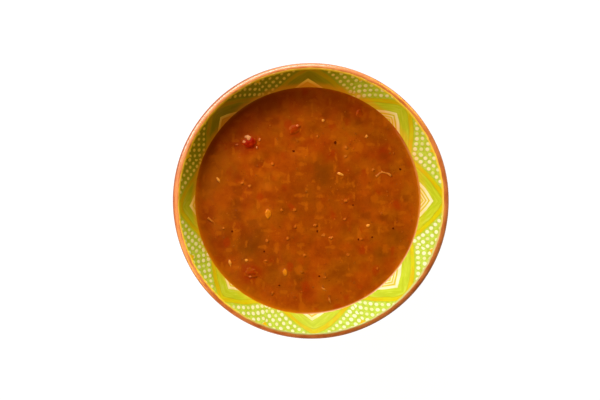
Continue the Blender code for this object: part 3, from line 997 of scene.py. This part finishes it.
def scattered(count, smallest, largest, flatness, depth):
    """Seeded places all over the soup for bits too small to be told one by one."""
    places = []
    while len(places) < count:
        out = 63.0 * math.sqrt(draw.random())
        turn = draw.uniform(0.0, 2.0 * math.pi)
        size = draw.uniform(smallest, largest)
        half = (size * draw.uniform(1.0, 1.9), size, size * flatness)
        x, y = out * math.cos(turn), out * math.sin(turn)
        turn = draw.uniform(-90.0, 90.0)
        tilt = draw.uniform(-10.0, 10.0)
        soaked = draw.uniform(0.55, 1.1)
        if clear_of_tomatoes(x, y, 0.5):
            places.append((x, y, turn, tilt, half, depth, soaked))
    return places


fine_crumbs = scattered(120, smallest=0.20, largest=0.50, flatness=0.75, depth=0.35)
strew("fine_crumbs", speck_pattern(), fine_crumbs, 0.30, scrap)


# The tomato's seeds and pulp.
# Pale lumps of seed and jelly, soft from cooking, that have come away from the chunks. They lie on the chunks
# or beside them in the soup.

fresh_pulp, soaked_pulp, clear_jelly = (0.86, 0.40, 0.16), (0.64, 0.13, 0.020), (0.70, 0.22, 0.05)
pale_pulp = Finish("tomato_seeds")
jelly = pale_pulp.clouds(pale_pulp.place(), 0.8)
pinkish = soaked_colour(pale_pulp, fresh_pulp, soaked_pulp)
pinkish = pale_pulp.mix(jelly.eased(0.45, 0.75) * 0.4, pinkish, clear_jelly)
pinkish = under_soup(pale_pulp, pinkish, 0.12, 0.8)
pale_pulp.lay(pinkish, 0.30, pale_pulp.relief(jelly, 0.12), shine=0.2)

# x, y, turn, tilt, half sizes, the share that is sunk and how far soup has soaked in
seeds = [
    (-37.1, 37.6, 20.0, 0.0, (1.5, 0.9, 0.6), 0.3, 0.1),
    (-35.7, 36.7, -60.0, 0.0, (1.6, 1.2, 0.7), 0.3, 0.0),
    (-38.5, 34.4, 0.0, 0.0, (1.1, 0.9, 0.6), 0.3, 0.45),
    (-42.8, 32.9, 15.0, 0.0, (1.2, 0.7, 0.6), 0.3, 0.9),
    (-29.4, 35.7, 80.0, 0.0, (1.2, 0.8, 0.6), 0.3, 0.7),
    (-31.2, 31.1, 90.0, 0.0, (0.9, 0.6, 0.5), 0.3, 0.6),
    (-7.3, 43.9, 0.0, 0.0, (0.9, 0.8, 0.5), 0.3, 0.8),
    (-35.1, -44.8, 0.0, 0.0, (1.0, 0.8, 0.5), 0.4, 0.9),
]
strew("tomato_seeds", crumb_pattern(), seeds, 0.55, pale_pulp)


# The herbs.
# Chopped coriander and celery leaf, wilted dark. Thin, wavy scraps lie flat on the surface.

dark_leaf, light_leaf = (0.120, 0.042, 0.001), (0.230, 0.078, 0.002)
leaf_green = Finish("wilted_leaf")
veins = leaf_green.clouds(leaf_green.place(), 0.7)
olive = leaf_green.mix(veins.eased(0.35, 0.65), dark_leaf, light_leaf)
olive = under_soup(leaf_green, olive, 0.30, 0.75)
leaf_green.lay(olive, 0.35, leaf_green.relief(veins, 0.08), shine=0.1)


def leaf_pattern():
    leaf = start(bpy.ops.mesh.primitive_grid_add, x_subdivisions=8, y_subdivisions=6, size=2.0)
    for corner in leaf.data.vertices:
        here = corner.co.copy()
        corner.co.x = here.x * (1.0 - 0.22 * here.y * here.y + 0.12 * math.sin(5.0 * here.y))
        corner.co.y = here.y * (1.0 - 0.34 * here.x * here.x + 0.10 * math.sin(6.0 * here.x))
        corner.co.z = 0.35 * math.sin(2.6 * here.x + 1.0) * math.cos(2.1 * here.y)
    thickness = leaf.modifiers.new("thickness", "SOLIDIFY")
    thickness.thickness = 0.3
    bpy.ops.object.modifier_apply(modifier="thickness")
    return leaf


strew("herbs", leaf_pattern(), spots["flake"], 0.25, leaf_green)
shreds = scattered(46, smallest=0.30, largest=0.62, flatness=0.45, depth=-0.3)
strew("herb_shreds", leaf_pattern(), shreds, 0.30, leaf_green)


# The pepper.
# Coarsely ground black pepper and cumin, dark specks in the surface.

dark_husk, light_husk = (0.080, 0.010, 0.0), (0.180, 0.022, 0.0)
peppercorn = Finish("ground_pepper")
husk = peppercorn.clouds(peppercorn.place(), 0.5)
dark = peppercorn.mix(husk, dark_husk, light_husk)
dark = under_soup(peppercorn, dark, 0.12, 0.8)
peppercorn.lay(dark, 0.45, peppercorn.relief(husk, 0.10), shine=0.0)

# Specks that can be told one by one: x, y and half size
told_pepper = [
    (15.0, 34.1, 0.85),
    (-9.5, 29.1, 0.60),
    (53.8, 18.3, 0.62),
    (-45.7, -18.0, 0.50),
    (4.4, -18.1, 0.55),
    (25.6, -2.8, 0.45),
    (29.0, -23.2, 0.50),
    (49.6, -16.8, 0.50),
    (37.2, -22.0, 0.50),
    (-26.9, -30.0, 0.45),
    (-18.0, -50.1, 0.50),
    (5.7, -44.8, 0.45),
]
pepper_places = []
for x, y, size in told_pepper:
    half = (size * 1.35, size * 1.15, size * 0.8)
    pepper_places.append((x, y, draw.uniform(-90.0, 90.0), 0.0, half, 0.1, 0.0))
pepper_places += scattered(38, smallest=0.18, largest=0.34, flatness=0.8, depth=0.1)
strew("pepper", speck_pattern(), pepper_places, 0.4, peppercorn)


# Stage, light and camera.
# A white table, one wide window light from the far side, three small warm screens, a lamp on the left and a
# dim surround. The camera looks down, a little tilted.

table = start(bpy.ops.mesh.primitive_plane_add, size=4.0)
table.name = "white_table"
table_white = Finish("table_white")
table_glow = table_white.node("ShaderNodeLightPath", output="Is Camera Ray") * 0.48 + 0.50
table_white.give({"Base Color": (0.12, 0.12, 0.12), "Roughness": 1.0, "Specular IOR Level": 0.0})
table_white.give({"Emission Color": (1.0, 1.0, 1.0), "Emission Strength": table_glow})
table.data.materials.append(table_white.look)

middle = Vector((0.0, 0.0, bowl_height))
light_distance = 0.9
# Name, bearing and rise in degrees, width and height in metres, power in watts and colour
lights = [
    ("window_light", 119.0, 34.0, 1.40, 0.26, 11.0, (1.0, 1.0, 1.0)),
    ("right_screen", 45.0, 18.0, 0.36, 0.36, 4.1, (1.0, 0.68, 0.07)),
    ("left_screen", 210.0, 18.0, 0.36, 0.36, 3.3, (1.0, 0.64, 0.11)),
    ("front_screen", 300.0, 20.0, 0.36, 0.36, 0.5, (1.0, 0.66, 0.10)),
    ("left_lamp", 195.0, 55.0, 0.50, 0.50, 2.1, (1.0, 0.60, 0.30)),
]
for name, bearing, rise, width, height, power, tint in lights:
    turn = math.radians(bearing)
    way = Vector((math.cos(turn), math.sin(turn), math.tan(math.radians(rise))))
    bpy.ops.object.light_add(type="AREA", location=middle + way.normalized() * light_distance)
    light = bpy.context.object
    light.name = name
    light.rotation_euler = (middle - light.location).to_track_quat("-Z", "Y").to_euler()
    light.data.shape = "RECTANGLE"
    light.data.size = width
    light.data.size_y = height
    light.data.energy = power
    light.data.color = tint

# The surround looks white, and lights the bowl with a faint warmth that fades out overhead.
surround = Finish("studio", bpy.data.worlds, "Background")
bpy.context.scene.world = surround.look
_x, _y, height = surround.parts(surround.node("ShaderNodeTexCoord", output="Generated"))
seen = surround.node("ShaderNodeLightPath", output="Is Camera Ray")
faint = surround.node("ShaderNodeMapRange", height, 0.55, 0.88, 0.006, 0.0)
warmth = surround.mix(seen, (1.0, 0.40, 0.08), (1.0, 1.0, 1.0))
surround.give({"Strength": faint.maths("MAXIMUM", seen), "Color": warmth})
bpy.context.scene.view_settings.view_transform = "Standard"

camera_distance = 0.70
camera_tilt = math.radians(5.8)
camera_side = Vector((-0.9, 0.43, 0.0)).normalized()
camera_way = math.sin(camera_tilt) * camera_side + math.cos(camera_tilt) * Vector((0.0, 0.0, 1.0))
eye = middle + camera_distance * camera_way
aim = middle + Vector((-7.16 * mm, 1.0 * mm, 0.0))
bpy.ops.object.camera_add(location=eye)
camera = bpy.context.object
backward = (eye - aim).normalized()
rightward = Vector((0.0, 1.0, 0.0)).cross(backward).normalized()
upward = backward.cross(rightward)
camera.rotation_euler = Matrix((rightward, upward, backward)).transposed().to_euler()
camera.data.angle = math.radians(27.7)
bpy.context.scene.camera = camera
